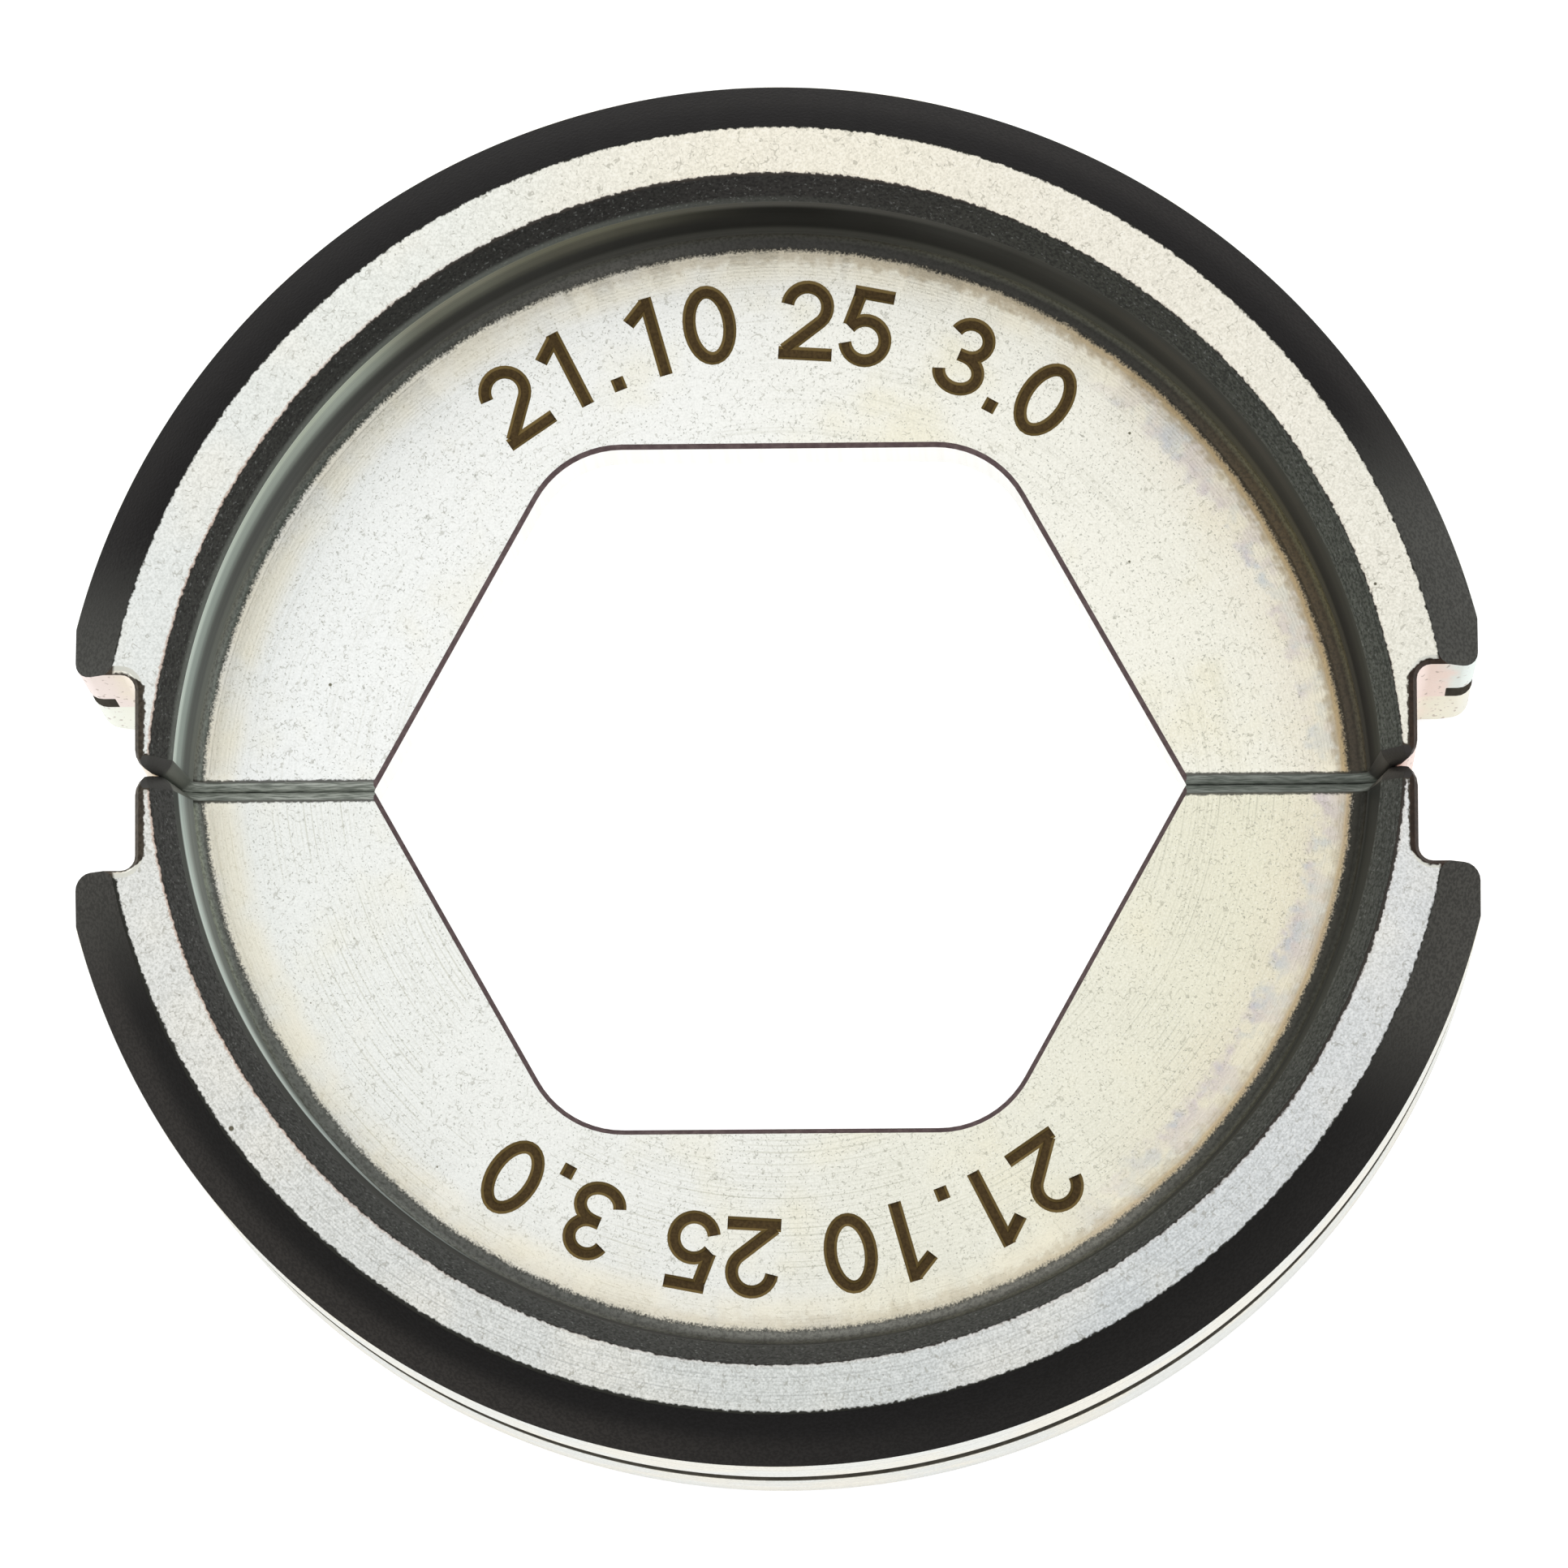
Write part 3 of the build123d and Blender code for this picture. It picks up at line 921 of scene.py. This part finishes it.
def upper_finishes(shared):
    """Finishes of the upper half. Stops go by x, or by side from -1 to 1 on the wall and its foot. The
    stops of the bevels, the wall and its foot are painted light and shade.
    """
    rim = ((-20, (234, 237, 234)), (-12, (240, 242, 236)), (0, (246, 241, 225)), (12, (243, 239, 226)),
           (20, (240, 238, 226)))
    # Bevel stops: near-black and charcoal painted shade
    outside = ((-18, (21, 19, 19)), (0, (24, 22, 22)), (12, (27, 25, 25)))
    bevel = ((-19, (84, 84, 81)), (-11, (70, 70, 67)), (-5, (68, 67, 65)), (0, (77, 75, 73)),
             (11, (86, 87, 81)), (18, (108, 111, 104)))
    # Wall and fillet stops round the ring: painted light and shade, pale highlights on the left
    foot = ((-1, (133, 137, 130)), (-0.74, (93, 93, 90)), (0, (84, 84, 79)), (0.57, (97, 98, 90)),
            (0.85, (106, 103, 88)), (1, (88, 86, 80)))
    low = ((-1, (110, 114, 110)), (-0.87, (95, 97, 94)), (-0.57, (62, 62, 59)), (0, (38, 38, 36)),
           (0.57, (60, 60, 57)), (0.77, (70, 69, 64)), (1, (53, 52, 50)))
    high = ((-1, (182, 194, 186)), (-0.74, (190, 200, 188)), (-0.57, (131, 133, 119)),
            (-0.34, (101, 100, 87)), (0, (24, 24, 22)), (0.34, (60, 60, 57)), (0.77, (84, 82, 75)),
            (1, (66, 66, 60)))
    edge = ((-1, (234, 246, 236)), (-0.74, (214, 223, 205)), (-0.57, (159, 159, 141)),
            (-0.34, (126, 125, 106)), (0, (98, 97, 92)), (0.57, (73, 73, 69)), (1, (76, 77, 71)))
    inner = ((-1, (134, 140, 132)), (-0.85, (100, 106, 99)), (-0.34, (102, 101, 96)), (0, (74, 73, 70)),
             (0.57, (70, 69, 65)), (0.85, (94, 83, 66)), (1, (76, 71, 64)))
    outer = ((-1, (134, 137, 131)), (-0.5, (116, 117, 112)), (0, (96, 96, 91)), (0.57, (128, 129, 117)),
             (0.9, (142, 138, 112)), (1, (126, 120, 109)))
    web = ((-16, (247, 249, 247)), (-4, (248, 249, 245)), (6, (248, 247, 237)), (16, (247, 245, 231)))
    changes = ((-0.1, -0.7, -0.19), (0.5, 0.9, 0.09))
    bands = ((2.3, 3.1, low), (3.6, 5.0, high), (5.1, 5.7, edge))
    return {
        "rim_face": rim_finish("upper", rim, 0.22, 0.0),
        "outer_bevel": outer_bevel_finish("upper", outside, tone(80, 80, 76), 0.3, 0.1),
        "inner_bevel": inner_bevel_finish("upper", bevel, 0.5),
        "recess_wall": wall_finish("upper", foot, bands, 0.0),
        "web": web_finish("upper", web, 101, 0.2, (0.04, changes, 0.8, inner, outer)),
        **shared,
    }


def lower_finishes(shared):
    """Finishes of the lower half, whose wall shows as a thin pale line on the left, a painted highlight.
    The stops of the bevels, the wall and its foot are painted light and shade.
    """
    rim = ((-20, (230, 231, 227)), (-10, (226, 228, 225)), (0, (220, 223, 220)), (10, (217, 221, 222)),
           (20, (226, 228, 228)))
    # Bevel stops: near-black and charcoal painted shade
    outside = ((-18, (35, 34, 33)), (0, (34, 33, 33)), (12, (35, 34, 33)))
    bevel = ((-19, (92, 92, 90)), (-10, (90, 91, 88)), (0, (89, 89, 86)), (10, (90, 91, 87)),
             (19, (100, 102, 97)))
    # Wall and fillet stops round the ring: painted light and shade, pale highlights on the left
    foot = ((-1, (147, 152, 147)), (-0.85, (134, 139, 134)), (-0.5, (98, 98, 95)))
    high = ((-1, (210, 223, 216)), (-0.96, (238, 250, 243)), (-0.91, (236, 248, 242)),
            (-0.77, (214, 225, 221)), (-0.6, (160, 168, 165)), (-0.45, (98, 98, 95)),
            (0, (83, 83, 81)), (0.5, (88, 89, 83)), (1, (82, 83, 79)))
    lip = ((-1, (92, 95, 91)), (-0.77, (74, 74, 72)), (0, (80, 80, 78)), (0.5, (68, 69, 65)),
           (0.77, (63, 64, 60)), (0.91, (68, 70, 66)), (1, (58, 59, 56)))
    inner = ((-1, (120, 123, 117)), (-0.4, (112, 113, 108)), (0, (136, 136, 129)), (0.5, (132, 131, 123)),
             (0.77, (84, 84, 78)), (0.9, (72, 71, 65)), (1, (58, 57, 52)))
    outer = ((-1, (176, 184, 174)), (-0.77, (142, 145, 141)), (-0.6, (170, 174, 170)),
             (-0.4, (150, 152, 148)), (0, (122, 122, 117)), (0.5, (138, 139, 131)),
             (0.77, (128, 130, 122)), (0.9, (104, 106, 100)), (1, (86, 86, 82)))
    web = ((-16, (243, 245, 241)), (-4, (242, 243, 238)), (6, (240, 239, 225)), (16, (240, 237, 215)))
    changes = ((-0.82, -0.95, -0.13),)
    bands = ((3.0, 4.7, high), (4.8, 5.1, lip))
    return {
        "rim_face": rim_finish("lower", rim, 0.3, 0.5),
        "outer_bevel": outer_bevel_finish("lower", outside, tone(74, 73, 69), 0.1, 0.75),
        "inner_bevel": inner_bevel_finish("lower", bevel, 0.0),
        "recess_wall": wall_finish("lower", foot, bands, 2.6),
        "web": web_finish("lower", web, 151, 0.6, (0.0, changes, 0.45, inner, outer)),
        **shared,
    }


def dressed_half(name, mesh, finishes, turned, node):
    """Puts a half in place of its node, its own axis as the object's origin."""
    mesh = mesh.copy()
    mesh.name = name
    if turned:
        mesh.transform(Matrix.Rotation(math.pi, 4, "Z"))
    for index, material in enumerate(mesh.materials):
        stem = material.name.replace("upper_", "")
        mesh.materials[index] = finishes.get(stem, material)
    mesh.shade_smooth()
    mesh.set_sharp_from_angle(angle=SMOOTH_ANGLE)
    half = bpy.data.objects.new(name, mesh)
    bpy.context.scene.collection.objects.link(half)
    half.location.y = axis_drop * MM * (1 if turned else -1)
    normals = half.modifiers.new("normals", "WEIGHTED_NORMAL")
    normals.keep_sharp = True
    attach(half, "root")
    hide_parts(node)
    return half


shared = shared_finishes()
upper = upper_finishes(shared)
upper_mesh = half_mesh(upper)
dressed_half("upper_die", upper_mesh, upper, False, "upper_die_half")
dressed_half("lower_die", upper_mesh, lower_finishes(shared), True, "lower_die_half")

# Camera: a long lens from below the middle, at the photograph's tilt
CAMERA_X = 10.0
CAMERA_Y = -48.6
CAMERA_RISE = 400.0
AIM = (0.13, 0.1, 8.7)
ROLL = math.radians(0.3)
FOCAL_PIXELS = 16350
FRAME_PIXELS = 1932
SENSOR_WIDTH = 36.0
CLIP_START = 0.01


def camera():
    """Camera at the photograph's place, aimed and rolled as it was."""
    data = bpy.data.cameras.new("camera")
    data.sensor_width = SENSOR_WIDTH
    data.lens = FOCAL_PIXELS / FRAME_PIXELS * SENSOR_WIDTH
    data.clip_start = CLIP_START
    eye = bpy.data.objects.new("camera", data)
    bpy.context.scene.collection.objects.link(eye)
    place = Vector((CAMERA_X, CAMERA_Y, THICKNESS + CAMERA_RISE)) * MM
    back = (place - Vector(AIM) * MM).normalized()
    across = Vector((0, 1, 0)).cross(back).normalized()
    up = back.cross(across)
    turn = Matrix((across, up, back)).transposed().to_4x4()
    eye.matrix_world = Matrix.Translation(place) @ turn @ Matrix.Rotation(-ROLL, 4, "Z")
    bpy.context.scene.camera = eye


# Light: a pale room and square lamps, each with its place and size in metres and its radiance
ROOM_LIGHT = 0.74
LAMPS = (
    ("overhead", (-0.15, 0.2, 0.9), 0.9, 0.52),
    ("right_side", (0.7, -0.1, 0.35), 0.35, 0.8),
)

# Floor
FLOOR_SIZE = 3.0
FLOOR_GREY = 0.86
FLOOR_ROUGHNESS = 0.9
FLOOR_GLOW = 0.7


def world():
    """Even white light from all round."""
    room = bpy.data.worlds.new("room")
    room.use_nodes = True
    room.node_tree.nodes["Background"].inputs["Color"].default_value = (1, 1, 1, 1)
    room.node_tree.nodes["Background"].inputs["Strength"].default_value = ROOM_LIGHT
    bpy.context.scene.world = room


def soft_lamp(name, place, size, radiance):
    """Square lamp turned to the die, its face as bright as radiance."""
    data = bpy.data.lights.new(name, "AREA")
    data.size = size
    data.energy = radiance * math.pi * size ** 2
    lamp = bpy.data.objects.new(name, data)
    bpy.context.scene.collection.objects.link(lamp)
    lamp.location = place
    lamp.rotation_euler = (-Vector(place)).to_track_quat("-Z", "Y").to_euler()


def floor_finish():
    """Pale floor that looks white to the camera and in reflections, and still takes a shadow."""
    material = bpy.data.materials.new("floor")
    material.use_nodes = True
    tree = material.node_tree
    shader = tree.nodes["Principled BSDF"]
    shader.inputs["Base Color"].default_value = (FLOOR_GREY, FLOOR_GREY, FLOOR_GREY, 1)
    shader.inputs["Roughness"].default_value = FLOOR_ROUGHNESS
    shader.inputs["Emission Color"].default_value = (1, 1, 1, 1)
    path = tree.nodes.new("ShaderNodeLightPath")
    seen = path.outputs["Is Camera Ray"]
    for other in ("Is Glossy Ray", "Is Transmission Ray"):
        either = tree.nodes.new("ShaderNodeMath")
        either.operation = "MAXIMUM"
        tree.links.new(seen, either.inputs[0])
        tree.links.new(path.outputs[other], either.inputs[1])
        seen = either.outputs[0]
    glow = tree.nodes.new("ShaderNodeMath")
    glow.operation = "MULTIPLY"
    glow.inputs[1].default_value = FLOOR_GLOW
    tree.links.new(seen, glow.inputs[0])
    tree.links.new(glow.outputs[0], shader.inputs["Emission Strength"])
    return material


def floor():
    """The floor that the die lies on, kept out of the part as stage."""
    work = bmesh.new()
    bmesh.ops.create_grid(work, x_segments=1, y_segments=1, size=FLOOR_SIZE / 2)
    mesh = bpy.data.meshes.new("floor")
    work.to_mesh(mesh)
    work.free()
    mesh.materials.append(floor_finish())
    ground = bpy.data.objects.new("floor", mesh)
    bpy.context.scene.collection.objects.link(ground)


camera()
world()
for lamp in LAMPS:
    soft_lamp(*lamp)
floor()
bpy.context.scene.view_settings.view_transform = "Standard"
